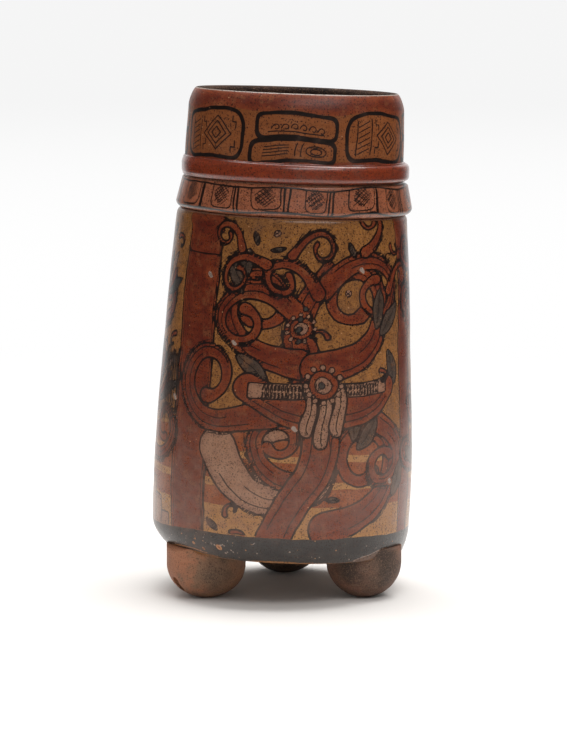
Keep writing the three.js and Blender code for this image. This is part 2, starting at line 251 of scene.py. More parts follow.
class Canvas:
    """The brushwork on one turned surface, kept as distances at the mesh's points.

    Each slip has a field that is positive inside it, in millimetres. Thin lines are kept as
    a signed distance, so that they can be finer than the mesh.
    """

    def __init__(self, place: np.ndarray, girth: float, seed: int) -> None:
        """Lay the canvas round the axis.

        Args:
            place: the mesh's points, upright, in millimetres above the underside.
            girth: the painted length once round.
            seed: settles how the hand wanders.
        """
        self.girth = girth
        self.random = np.random.default_rng(seed)
        around = np.arctan2(place[:, 0], -place[:, 1]) * girth / (2 * np.pi)
        self.u = around + self.wander(around, place[:, 2], 34, 0.55)
        self.u += self.wander(around, place[:, 2], 8, 0.09)
        self.v = place[:, 2] + self.wander(around, place[:, 2], 34, 0.5)
        self.v += self.wander(around, place[:, 2], 8, 0.09)
        self.level = place[:, 2]
        self.fields = {slip: np.full(len(place), -FAR) for slip in Slip}
        self.side = np.full(len(place), FAR)
        self.near = np.full(len(place), FAR)
        self.weight = np.full(len(place), FINE)

    def paint(self, form: Form) -> None:
        """Leave the piece bare. A canvas with brushwork has its own method for it."""

    def wander(self, u: np.ndarray, v: np.ndarray, size: float, amount: float) -> np.ndarray:
        """Return a smooth unevenness that closes round the cup."""
        total = np.zeros(len(u))
        for _ in range(12):
            turn = self.random.uniform(0, 2 * np.pi)
            waves = round(self.girth / size * np.cos(turn))
            phase = self.random.uniform(0, 2 * np.pi)
            total += np.sin(waves * 2 * np.pi / self.girth * u
                            + np.sin(turn) * 2 * np.pi / size * v + phase)
        return total * amount / 2.5

    def reach(self, path: Points, half: Any, corner: float = 2) -> tuple[np.ndarray, ...]:
        """Measure the points near a brush stroke.

        Args:
            path: the middle of the stroke.
            half: its half width, one for all or one for each point of the path.
            corner: 2 for round ends and bends, more for square ones.

        Returns:
            The points' numbers, their depth in the stroke, their signed distance from its
            middle, and the half width there.
        """
        line = np.asarray(path, float)
        wide = np.broadcast_to(np.asarray(half, float), len(line))
        middle = line[:, 0].mean()
        across = (self.u - middle + self.girth / 2) % self.girth - self.girth / 2
        line = line - (middle, 0)
        room = wide.max() + 4
        low, high = line.min(0) - room, line.max(0) + room
        close = (across > low[0]) & (across < high[0]) & (self.v > low[1]) & (self.v < high[1])
        where = np.flatnonzero(close)
        spot = np.stack([across[where], self.v[where]], 1)[:, None]
        start, step = line[:-1], np.diff(line, axis=0)
        along = ((spot - start) * step).sum(2) / np.maximum((step**2).sum(1), 1e-9)
        along = np.clip(along, 0, 1)
        off = spot - start - along[..., None] * step
        gap = (np.abs(off) ** corner).sum(2) ** (1 / corner)
        reach = wide[:-1] + along * np.diff(wide)
        best = (reach - gap).argmax(1)
        row = np.arange(len(where))
        turn = step[best, 0] * off[row, best, 1] - step[best, 1] * off[row, best, 0]
        gap, reach = gap[row, best], reach[row, best]
        return where, reach - gap, np.where(turn < 0, -gap, gap), reach

    def mark(self, where: np.ndarray, side: np.ndarray, weight: Any) -> None:
        """Keep a line's signed distance and half width at these points."""
        self.side[where] = side
        self.near[where] = np.abs(side)
        self.weight[where] = weight

    def settle(self, where: np.ndarray, depth: np.ndarray, slip: Slip, rim: float) -> None:
        """Lay a shape of slip over what is there, with a dark rim of that half width."""
        for other, layer in self.fields.items():
            if other is slip:
                layer[where] = np.maximum(layer[where], depth)
            else:
                layer[where] = np.minimum(layer[where], -depth)
        inside = depth > 0
        if rim:
            change = inside | (np.abs(depth) < self.near[where])
            self.mark(where[change], depth[change], rim)
        else:
            self.side[where[inside]] = FAR
            self.near[where[inside]] = FAR

    def lay(self, path: Points, half: Any, slip: Slip, rim: float = 0.32, corner: float = 2) -> None:
        """Lay one stroke of slip along a path."""
        where, depth, _, _ = self.reach(path, half, corner)
        self.settle(where, depth, slip, rim)

    def belt(self, low: float, high: float, slip: Slip, even: bool = False) -> None:
        """Lay a belt of slip right round, along the hand's wavy lines or quite evenly."""
        height = self.level if even else self.v
        depth = np.minimum(height - low, high - height)
        self.settle(np.arange(len(depth)), depth, slip, 0)

    def line(self, path: Points, weight: Any = 0.26) -> None:
        """Draw one dark line along a path."""
        where, _, side, thick = self.reach(path, weight)
        change = np.abs(side) < self.near[where]
        self.mark(where[change], side[change], thick[change])

    def store(self, mesh: Mesh, points: np.ndarray) -> None:
        """Keep the brushwork on the mesh.

        Args:
            mesh: the mesh to store it on.
            points: which of the mesh's points the canvas holds.
        """
        values = {slip.name: layer for slip, layer in self.fields.items()}
        values |= {"side": self.side, "near": self.near, "weight": self.weight}
        for name, layer in values.items():
            bare = {"side": FAR, "near": FAR, "weight": FINE}.get(name, -FAR)
            whole = np.full(len(mesh.vertices), bare, np.float32)
            whole[points] = layer
            made = mesh.attributes.new(name, "FLOAT", "POINT")
            made.data.foreach_set("value", whole)


def curl(start: Spot, heading: float, length: float, turn: float,
         tighten: float = 1.8, count: int = 46) -> np.ndarray:
    """Return the path of a scroll.

    Args:
        start: where it begins.
        heading: the direction in which it sets out, in degrees.
        length: its length.
        turn: how far it turns in all, in degrees, to the left if positive.
        tighten: more than 1 where it curls up towards its end.
        count: how many points it has.

    Returns:
        The points of the path.
    """
    share = np.linspace(0, 1, count)
    angle = np.radians(heading + turn * share**tighten)
    steps = np.stack([np.cos(angle), np.sin(angle)], 1) * length / (count - 1)
    return np.array(start) + np.vstack([[0, 0], np.cumsum(steps, 0)[:-1]])


def beside(path: np.ndarray, offset: Any) -> np.ndarray:
    """Return the path moved to its left by the offset."""
    step = np.gradient(path, axis=0)
    step /= np.hypot(step[:, 0], step[:, 1])[:, None]
    normal = np.stack([-step[:, 1], step[:, 0]], 1)
    return path + normal * np.broadcast_to(offset, len(path))[:, None]


def disc(centre: Spot) -> np.ndarray:
    """Return the path of a round spot."""
    return np.array([centre, centre]) + ((-0.01, 0), (0.01, 0))


class Motifs(Canvas):
    """The generic ornaments of the painted register."""

    def hairs(self, path: np.ndarray, wide: Any, outer: float, count: int) -> None:
        """Draw a fringe of hair strokes along a stretch of one edge."""
        edge = beside(path, outer * (wide - 0.4))
        middle = beside(path, outer * (wide + 0.9))
        tips = beside(path, outer * (wide + 1.5))
        first, last = int(len(path) * 0.14), int(len(path) * 0.66)
        for spot in np.linspace(first, last, count).astype(int):
            spot += self.random.integers(0, 3)
            self.line([edge[spot], middle[spot + 2], tips[spot + 4]], [0.26, 0.2, 0.08])

    def scroll(self, start: Spot, heading: float, length: float, turn: float,
               half: float = 2.6, slip: Slip = Slip.RED, hair: int = 0,
               tighten: float = 1.8) -> np.ndarray:
        """Paint a tapering scroll with a knob, inner lines and hair strokes.

        Args:
            start: where it begins.
            heading: the direction in which it sets out, in degrees.
            length: its length.
            turn: how far it turns in all, in degrees.
            half: its half width where it begins.
            slip: what it is painted in.
            hair: how many hair strokes stand on its outer edge.
            tighten: how much it curls up towards its end.

        Returns:
            The points of its path.
        """
        path = curl(start, heading, length, turn, tighten)
        share = np.linspace(0, 1, len(path))
        wide = half * (1 - 0.74 * share**0.8) + half * 0.22 * np.exp(-(((share - 1) / 0.05) ** 2))
        self.lay(path, wide, slip, 0.38)
        outer = -np.sign(turn)
        if half > 2:
            self.line(beside(path, outer * wide * 0.5)[4:-9], [0.26] * (len(path) - 13))
        if half > 3.4:
            self.line(beside(path, -outer * wide * 0.25)[8:-16], 0.22)
        if hair:
            self.hairs(path, wide, outer, hair)
        return path

    def scrolls(self, u: float, *rows: tuple[float, ...]) -> None:
        """Paint red scrolls: place from u, heading, length, turn, half width and hairs."""
        for x, y, heading, length, turn, half, hair in rows:
            self.scroll((u + x, y), heading, length, turn, half, Slip.RED, hair)

    def flow(self, u: float, points: Sequence[Place], slip: Slip,
             lines: Sequence[float] = (), hair: int = 0) -> np.ndarray:
        """Paint a ribbon that flows through points.

        Args:
            u: where along the band the points are counted from.
            points: place and half width along its middle.
            slip: what it is painted in.
            lines: where lines run inside it, as shares of its half width.
            hair: how many hair strokes stand on its left edge.

        Returns:
            The points of its path.
        """
        knots = np.array([points[0], *points, points[-1]], float) + (u, 0, 0)
        share = np.linspace(0, 1, 9)[:-1, None]
        parts = []
        for a, b, c, d in zip(knots, knots[1:], knots[2:], knots[3:]):
            bend = (2 * a - 5 * b + 4 * c - d) * share**2 + (3 * b - a - 3 * c + d) * share**3
            parts.append(b + 0.5 * ((c - a) * share + bend))
        whole = np.vstack([*parts, knots[-1:]])
        path, wide = whole[:, :2], whole[:, 2]
        self.lay(path, wide, slip, 0.38)
        for place in lines:
            self.line(beside(path, wide * place)[2:-2], 0.24)
        if hair:
            self.hairs(path, wide, 1, hair)
        return path

    def leaf(self, foot: Spot, heading: float, length: float, half: float,
             slip: Slip = Slip.LEAF) -> None:
        """Paint a pointed leaf with a midrib."""
        path = curl(foot, heading, length, 16, 1, 13)
        share = np.linspace(0, 1, 13)
        self.lay(path, half * np.sin(np.pi * share) ** 0.75, slip, 0.32)
        self.line(path[2:-1], 0.14)

    def rosette(self, centre: Spot, radius: float, beads: int) -> None:
        """Paint a round flower with a heart and a ring of beads."""
        for angle in np.linspace(0, 2 * np.pi, beads, endpoint=False):
            spot = np.array(centre) + radius * 1.25 * np.array([np.cos(angle), np.sin(angle)])
            self.lay(disc(tuple(spot)), radius * 0.2, Slip.MAUVE, 0.2)
        self.lay(disc(centre), radius, Slip.RED, 0.26)
        self.lay(disc(centre), radius * 0.6, Slip.MAUVE, 0.24)
        self.lay(disc((centre[0] - 0.1 * radius, centre[1])), radius * 0.24, Slip.DARK, 0.2)

    def post(self, middle: float, low: float, high: float, half: float) -> None:
        """Paint an upright red post with an inner line along both sides."""
        self.lay([(middle, low + half), (middle, high - half)], half, Slip.RED, 0.36, 14)
        self.lay([(middle, high - 4), (middle + 0.2, high - 2.6)], [half, half + 1.6],
                 Slip.RED, 0.3, 14)
        for aside in (1.7 - half, half - 1.5):
            self.line([(middle + aside, low + 1), (middle + aside * 1.05, high - 8)], 0.15)

    def fret(self, corner: Spot, size: float, flip: int, slip: Slip) -> None:
        """Paint a square hook that turns in on itself."""
        moves = [(0, 0), (0, 1), (1, 1), (1, 0.26), (0.4, 0.26), (0.4, 0.64), (0.64, 0.64)]
        path = [(corner[0] + flip * x * size, corner[1] + y * size) for x, y in moves]
        self.lay(path, size * 0.115, slip, 0.28, 12)

    def stairs(self, foot: Spot, step: float, count: int, flip: int, slip: Slip) -> None:
        """Paint a stepped block that climbs to one side."""
        for i in range(count):
            middle, half = foot[0] + flip * (i + 0.5) * step, step * 0.52
            low, high = foot[1] + half, foot[1] + (i + 1) * step - half
            self.lay([(middle, low), (middle, max(high, low + 0.1))], half, slip, 0.26, 14)

    def fringe(self, left: float, right: float, top: float, low: float) -> None:
        """Draw hanging threads close together."""
        random = self.random
        for u in np.arange(left, right, 1.3):
            start, end = top - random.uniform(0, 4), low + random.uniform(0, 9)
            sway = random.uniform(-0.5, 0.5)
            self.line([(u, start), (u + sway, (start + end) / 2), (u, end)], [0.34, 0.36, 0.12])

    def plumes(self, centre: Spot, angles: Sequence[float], length: float, half: float) -> None:
        """Paint a fan of plumes, in turns dark, red and mauve."""
        for i, angle in enumerate(angles):
            slip = (Slip.DARK, Slip.RED, Slip.MAUVE)[i % 3]
            self.leaf(centre, angle, length * (1 - 0.14 * (i % 2)), half, slip)

    def strap(self, left: Spot, right: Spot, half: float) -> None:
        """Paint a woven strap with two rows of stitches."""
        self.lay([left, right], half, Slip.MAUVE, 0.28, 10)
        count = int((right[0] - left[0]) / 1.5)
        for share in np.linspace(0.04, 0.96, count):
            u = left[0] + share * (right[0] - left[0])
            v = left[1] + share * (right[1] - left[1])
            for row in (-0.72, 0.1):
                self.line([(u, v + half * row), (u + 0.35, v + half * (row + 0.5))], 0.3)

    def chain(self, path: np.ndarray, radius: float, every: int, slip: Slip) -> None:
        """Paint beads along a path."""
        for spot in path[::every]:
            self.lay(disc(tuple(spot)), radius, slip, 0.2)

    def fill(self, low: float, high: float, tries: int) -> None:
        """Fill bare places with small curls, spots and leaves."""
        painted = set(Slip) - {Slip.BROWN, Slip.ORANGE, Slip.GOLD}
        for _ in range(tries):
            u = self.random.uniform(-self.girth / 2, self.girth / 2)
            v = self.random.uniform(low, high)
            kind = self.random.integers(0, 5)
            way = self.random.uniform(0, 360)
            room, depth, _, _ = self.reach([(u, v), (u + 0.02, v)], 3.6)
            room = room[depth > 0]
            if not len(room) or self.near[room].min() < 1.0:
                continue
            if max(self.fields[slip][room].max() for slip in painted) > -0.2:
                continue
            if kind == 0:
                self.lay(disc((u, v)), 1.5, Slip.MAUVE, 0.22)
                self.lay(disc((u, v)), 0.5, Slip.DARK, 0.1)
            elif kind == 1:
                self.leaf((u, v - 2), way, 6.5, 1.3)
            elif kind == 2:
                self.line(curl((u, v - 2), way, 12, 330, 1.6), 0.24)
            else:
                turn = 230 if kind == 3 else -230
                self.scroll((u, v - 2), way, 10, turn, 1.1)


# The bench


@dataclass(frozen=True)
class Stance:
    """How the vessel leans on its feet: the foot of its axis and the angle."""

    foot: Place = (-1.0143, 0.0, 19.1)
    lean: float = 2.1

    def matrix(self) -> Matrix:
        """Return the move from the upright vessel to the leaning one, in metres."""
        place = Matrix.Translation([c * MM for c in self.foot])
        return place @ Matrix.Rotation(math.radians(self.lean), 4, "Y")


class Bench:
    """The tools that shape a piece."""

    @staticmethod
    def clear() -> None:
        """Deselect everything."""
        if bpy.context.object and bpy.context.object.mode != "OBJECT":
            bpy.ops.object.mode_set(mode="OBJECT")
        bpy.ops.object.select_all(action="DESELECT")

    @staticmethod
    def pick(piece: Thing) -> None:
        """Select this piece alone."""
        Bench.clear()
        piece.select_set(True)
        bpy.context.view_layer.objects.active = piece

    @staticmethod
    def turned(name: str, profile: Points, steps: int) -> Thing:
        """Turn a profile round the axis.

        Args:
            name: the piece's name.
            profile: radius and height of its points, in millimetres.
            steps: how many steps the turn has.

        Returns:
            The closed piece, upright at the origin, in millimetres times MM.
        """
        Bench.clear()
        bpy.ops.mesh.primitive_circle_add(vertices=3, radius=MM)
        piece = bpy.context.object
        piece.name = name
        piece.data.name = name
        for part in (*piece.data.edges, *piece.data.polygons):
            part.select = False
        piece.data.vertices[0].select = False
        bpy.ops.object.mode_set(mode="EDIT")
        bpy.ops.mesh.select_mode(type="VERT")
        bpy.ops.mesh.delete(type="VERT")
        bpy.ops.mesh.select_all(action="SELECT")
        start = (profile[0][0] * MM, -MM, profile[0][1] * MM)
        bpy.ops.transform.translate(value=start)
        for before, after in zip(profile, profile[1:]):
            move = ((after[0] - before[0]) * MM, 0, (after[1] - before[1]) * MM)
            bpy.ops.mesh.extrude_region_move(TRANSFORM_OT_translate={"value": move})
        bpy.ops.object.mode_set(mode="OBJECT")
        turn = piece.modifiers.new("turn", "SCREW")
        turn.angle = 2 * math.pi
        turn.steps = turn.render_steps = steps
        turn.use_merge_vertices = True
        turn.merge_threshold = 1e-6
        bpy.ops.object.modifier_apply(modifier=turn.name)
        bpy.ops.object.mode_set(mode="EDIT")
        bpy.ops.mesh.select_all(action="SELECT")
        bpy.ops.mesh.remove_doubles(threshold=1e-6)
        bpy.ops.mesh.normals_make_consistent(inside=False)
        bpy.ops.object.mode_set(mode="OBJECT")
        return piece

    @staticmethod
    def places(mesh: Mesh) -> np.ndarray:
        """Return the mesh's points in millimetres."""
        flat = np.zeros(len(mesh.vertices) * 3, np.float32)
        mesh.vertices.foreach_get("co", flat)
        return flat.reshape(-1, 3).astype(float) / MM

    @staticmethod
    def put(mesh: Mesh, places: np.ndarray) -> None:
        """Move the mesh's points to these places in millimetres."""
        mesh.vertices.foreach_set("co", (places * MM).astype(np.float32).ravel())
        mesh.update()

    @staticmethod
    def number(mesh: Mesh, test: Test) -> None:
        """Number the finish of each face by the radius and height of its centre."""
        flat = np.zeros(len(mesh.polygons) * 3, np.float32)
        mesh.polygons.foreach_get("center", flat)
        middle = flat.reshape(-1, 3) / MM
        number = test(np.hypot(middle[:, 0], middle[:, 1]), middle[:, 2])
        mesh.polygons.foreach_set("material_index", number.astype(np.int32))

    @staticmethod
    def stand(piece: Thing, matrix: Matrix, angle: float = 35) -> None:
        """Put a finished piece in its place, with its place in its mesh."""
        Bench.pick(piece)
        piece.matrix_world = matrix
        bpy.ops.object.transform_apply(location=True, rotation=True, scale=True)
        bpy.ops.object.shade_smooth_by_angle(angle=math.radians(angle))

    @staticmethod
    def carve(piece: Thing, cutter: Thing, operation: str = "DIFFERENCE") -> None:
        """Cut one piece with another, and take the other away."""
        Bench.pick(piece)
        cut = piece.modifiers.new("cut", "BOOLEAN")
        cut.operation = operation
        cut.solver = "EXACT"
        cut.object = cutter
        bpy.ops.object.modifier_apply(modifier=cut.name)
        bpy.data.objects.remove(cutter)


# Finishes


@dataclass(frozen=True)
class PaintedSlip:
    """Burnished slip with brushwork over it."""

    name: str
    ground: tuple[str, str]
    slips: tuple[Slip, ...]
    gate: float
    worn: float = 0.5
    gloss: float = 0.2
    burnish: float = 0.2
    shine: float = 0.5

    def build(self) -> Material:
        """Return the material."""
        g = Graph.material(self.name)
        broad = g.noise(26, 3)
        cloud = g.noise(5.5, 4, shift=0.3, rough=0.6)
        streak = g.noise(2.6, 3, (3.2, 3.2, 0.7), 0.7)
        grain = g.noise(0.55, 2, shift=0.11, rough=0.65)
        ragged = g.noise(1.1, 3, shift=0.45) - 0.5
        mottle = g.noise(1.7, 3, shift=0.52, rough=0.6)
        tone = (broad * 0.7 + cloud * 0.9 + mottle * 1.1 - 0.85).over(0.5, 0.95)
        base = g.mix(tone, *self.ground)
        base = g.mix(grain.over(0.6, 0.14) * 0.7, base, "422414")
        base = g.mix((1 - grain).over(0.66, 0.12) * 0.35, base, "a0733f")
        for slip in self.slips:
            depth = g.painted(slip.name) + ragged * 0.35
            base = g.mix(depth.over(0, 0.16), base, slip_tone(g, slip, depth, cloud, streak, grain))
        side = abs(g.painted("side") + ragged * 0.16)
        heavy = g.painted("weight") * (0.75 + cloud * 0.6)
        shut = (g.painted("near") - g.painted("weight")).over(self.gate, 0.2)
        drawn = (heavy - side).over(0, 0.14) * (1 - shut)
        gaps = (grain * 0.5 + ragged + 0.45).over(self.worn - 0.42, 0.2)
        base = g.mix(drawn * gaps * 0.98, base, "0e0a09")
        pitted = (g.noise(9, 3, shift=0.9) + cloud * 0.4).over(0.58, 0.4)
        base = g.mix(g.specks(0.62, 0.5, 0.34) * pitted * 0.55, base, "2c1811")
        base = g.mix(g.specks(0.9, 0.5, 0.32) * (0.12 + pitted * 0.65), base, "24120d")
        base = g.mix(g.specks(1.35, 0.6, 0.24) * (0.4 + pitted * 0.5), base, "20100c")
        base = g.mix(g.specks(2.7, 0.14, 0.1) * 0.7, base, "b48660")
        # Over rubbed patches, and patchily over the lower body from 31 to 78 mm up, lay a paler
        # greyish veil.
        rub = (broad * 0.7 + cloud * 0.5).over(0.78, 0.3)
        height = g.axis("Z")
        low = (0.078 - height).over(0, 0.06) * (height - 0.031).over(0, 0.006)
        base = g.mix(rub * 0.14 + low * (cloud * 0.5 - 0.1), base, "a07c69")
        rough = self.gloss + cloud * 0.1 + grain * 0.08 + rub * 0.1
        relief = grain * 0.4 + streak * 0.35 + cloud * 0.9 + drawn * 0.1
        g.finish(base, rough, relief, 0.14, Coat_Weight=self.burnish, Coat_Roughness=0.16,
                 Specular_IOR_Level=self.shine)
        return g.owner


def slip_tone(g: Graph, slip: Slip, depth: Wire, cloud: Wire, streak: Wire, grain: Wire) -> Wire:
    """Return the colour of a slip.

    Args:
        g: the graph that it is for.
        slip: the slip.
        depth: how far inside its edge a place lies.
        cloud: unevenness of the coat.
        streak: marks of the brush.
        grain: grit that shows through.

    Returns:
        The colour.
    """
    thin, full = slip.value
    rich = ((depth * 0.25).over(0.4, 0.8) * 0.35 + cloud * 0.8 + streak * 0.7 - 0.5).over(0.5, 0.8)
    body = g.mix(rich, thin, full)
    if slip not in (Slip.DARK, Slip.PALE, Slip.CLAY):
        worn = (g.noise(6, 5, shift=0.61, rough=0.72) + streak * 0.25).over(0.72, 0.14)
        body = g.mix(worn * 0.3, body, "8c5c3a")
    body = g.mix(grain.over(0.62, 0.12) * 0.5, body, "24120d")
    return g.mix((1 - grain).over(0.68, 0.1) * 0.35, body, "8a5634")


@dataclass(frozen=True)
class BareClay:
    """Fired clay without slip, smoked, scratched and patchy."""

    name: str
    dull: str
    warm: str
    smoke: str
    gloss: float = 0.5
    blush: float | None = None

    def build(self) -> Material:
        """Return the material."""
        g = Graph.material(self.name)
        broad = g.noise(13, 3)
        cloud = g.noise(3.6, 4, shift=0.3, rough=0.6)
        grain = g.noise(0.5, 2, shift=0.11, rough=0.65)
        scratch = g.noise(1.2, 2, (6, 6, 0.5), 0.9)
        base = g.mix((broad * 0.7 + cloud * 0.6).over(0.66, 0.3), self.dull, self.warm)
        base = g.mix((g.noise(17, 2, shift=0.77) + cloud * 0.3).over(0.7, 0.3), base, self.smoke)
        if self.blush is not None:
            aside = self.blush - g.axis("X") + (cloud + broad - 1) * 0.03
            base = g.mix(aside.over(0, 0.012) * 0.75, base, "a5694a")
        base = g.mix(grain.over(0.6, 0.15) * 0.6, base, "2b1c14")
        base = g.mix((1 - grain).over(0.6, 0.12) * 0.5, base, "8e6c50")
        base = g.mix(scratch.over(0.7, 0.05) * 0.3, base, "8c7260")
        base = g.mix(g.specks(1.3, 0.4, 0.2) * 0.7, base, "291a14")
        rough = self.gloss + cloud * 0.2 + grain * 0.1
        g.finish(base, rough, grain * 0.5 + cloud + scratch.over(0.68, 0.1) * 0.2, 0.22)
        return g.owner


# The vessel


@dataclass
class Form:
    """The vessel's outlines, in millimetres above the underside, upright."""

    belly: float = 54.6
    belly_height: float = 30
    drawn_in: float = 0.5
    shoulder: float = 48.2
    shoulder_height: float = 141.4
    shoulder_round: Spot = (2.2, 3)
    taper: float = 1.4
    edge_inset: float = 3.7
    edge_height: float = 9.5
    edge_power: float = 1.8
    edge_shift: float = 1.8
    wall: float = 6
    slab_top: float = 7.0
    joint: float = 7.15
    cove: float = 4
    cove_top: float = 11.3
    wall_top: float = 154.8
    groove: float = 0.5
    neck_foot_radius: float = 45.9
    neck_foot: float = 155.1
    neck_top: float = 191.3
    neck_height: float = 36.2
    neck_taper: float = 1
    neck_bore: float = 42.2
    collar_height: float = 7.8
    lip_height: float = 7
    lip_power: float = 1.4
    lip_inset: float = 2.6
    lip_round: Spot = (1.7, 2)
    seam: float = 0.3
    moulding_shift: float = 0.7
    shelf: float = 49.6
    lining: float = 45.5
    neck_lining: float = 43.5

    def skin(self, height: float) -> float:
        """Return the body's outer radius before its lower edge is rounded."""
        if height < self.belly_height:
            return self.belly - self.drawn_in * (1 - height / self.belly_height) ** 2
        share = (height - self.belly_height) / (self.shoulder_height - self.belly_height)
        share = min(share, 1)
        return self.shoulder + (self.belly - self.shoulder) * (1 - share**self.taper)

    def outer(self, height: float) -> float:
        """Return the body's outer radius."""
        low = max(0, 1 - height / self.edge_height)
        return self.skin(height) - self.edge_inset * low**self.edge_power

    def bore(self, height: float) -> float:
        """Return the body's inner radius."""
        return self.skin(height) - self.wall

    def pare(self, places: np.ndarray) -> None:
        """Move the lower edge to the right, as it was pared."""
        low = np.clip(1 - places[:, 2] / self.edge_height, 0, 1)
        places[:, 0] += self.edge_shift * low**self.edge_power

    def shift(self, places: np.ndarray) -> None:
        """Move a moulding's outside to the right, as it was smoothed."""
        proud = np.hypot(places[:, 0], places[:, 1]) - self.neck_foot_radius - self.seam
        places[:, 0] += self.moulding_shift * np.clip(proud, 0, 1)


def follow(radius: Any, low: float, high: float, count: int) -> list[Spot]:
    """Return points of a radius that is given as a function of height."""
    return [(radius(float(h)), float(h)) for h in np.linspace(low, high, count)]


def bow(centre: Spot, reach: Spot, start: float, end: float, count: int) -> list[Spot]:
    """Return points of an arc, angles in degrees from the radial direction."""
    angles = np.radians(np.linspace(start, end, count))
    return [(centre[0] + reach[0] * math.cos(a), centre[1] + reach[1] * math.sin(a)) for a in angles]


def waver(places: np.ndarray, seed: int, amount: float) -> None:
    """Let the surface waver a little, inwards only."""
    canvas = Canvas(places, 300, seed)
    waves = canvas.wander(canvas.u, places[:, 2], 60, 0.5)
    waves += canvas.wander(canvas.u, places[:, 2], 16, 0.16)
    radius = np.maximum(np.hypot(places[:, 0], places[:, 1]), 1e-6)
    move = amount * np.clip(waves / 1.3 - 0.9, -1.9, 0) / radius
    far = radius > 30
    places[far, :2] *= (1 + move[far])[:, None]


@dataclass
class Course:
    """One turned piece of the vessel, with its painting and its smoothing.

    The canvas is `girth` millimetres round and wanders by `seed`. By radius and height,
    `shown` picks the points that it holds and `inner` numbers each face's finish. `smooth`
    holds the waver's seed and amount, and `trim` then moves the points.
    """

    name: str
    node: str
    slot: str
    profile: Points
    steps: int
    girth: float
    seed: int
    canvas: type[Canvas]
    smooth: tuple[int, float]
    trim: Callable[[np.ndarray], None] | None = None
    shown: Test = lambda radius, height: radius > -1
    inner: Test = lambda radius, height: radius < -1


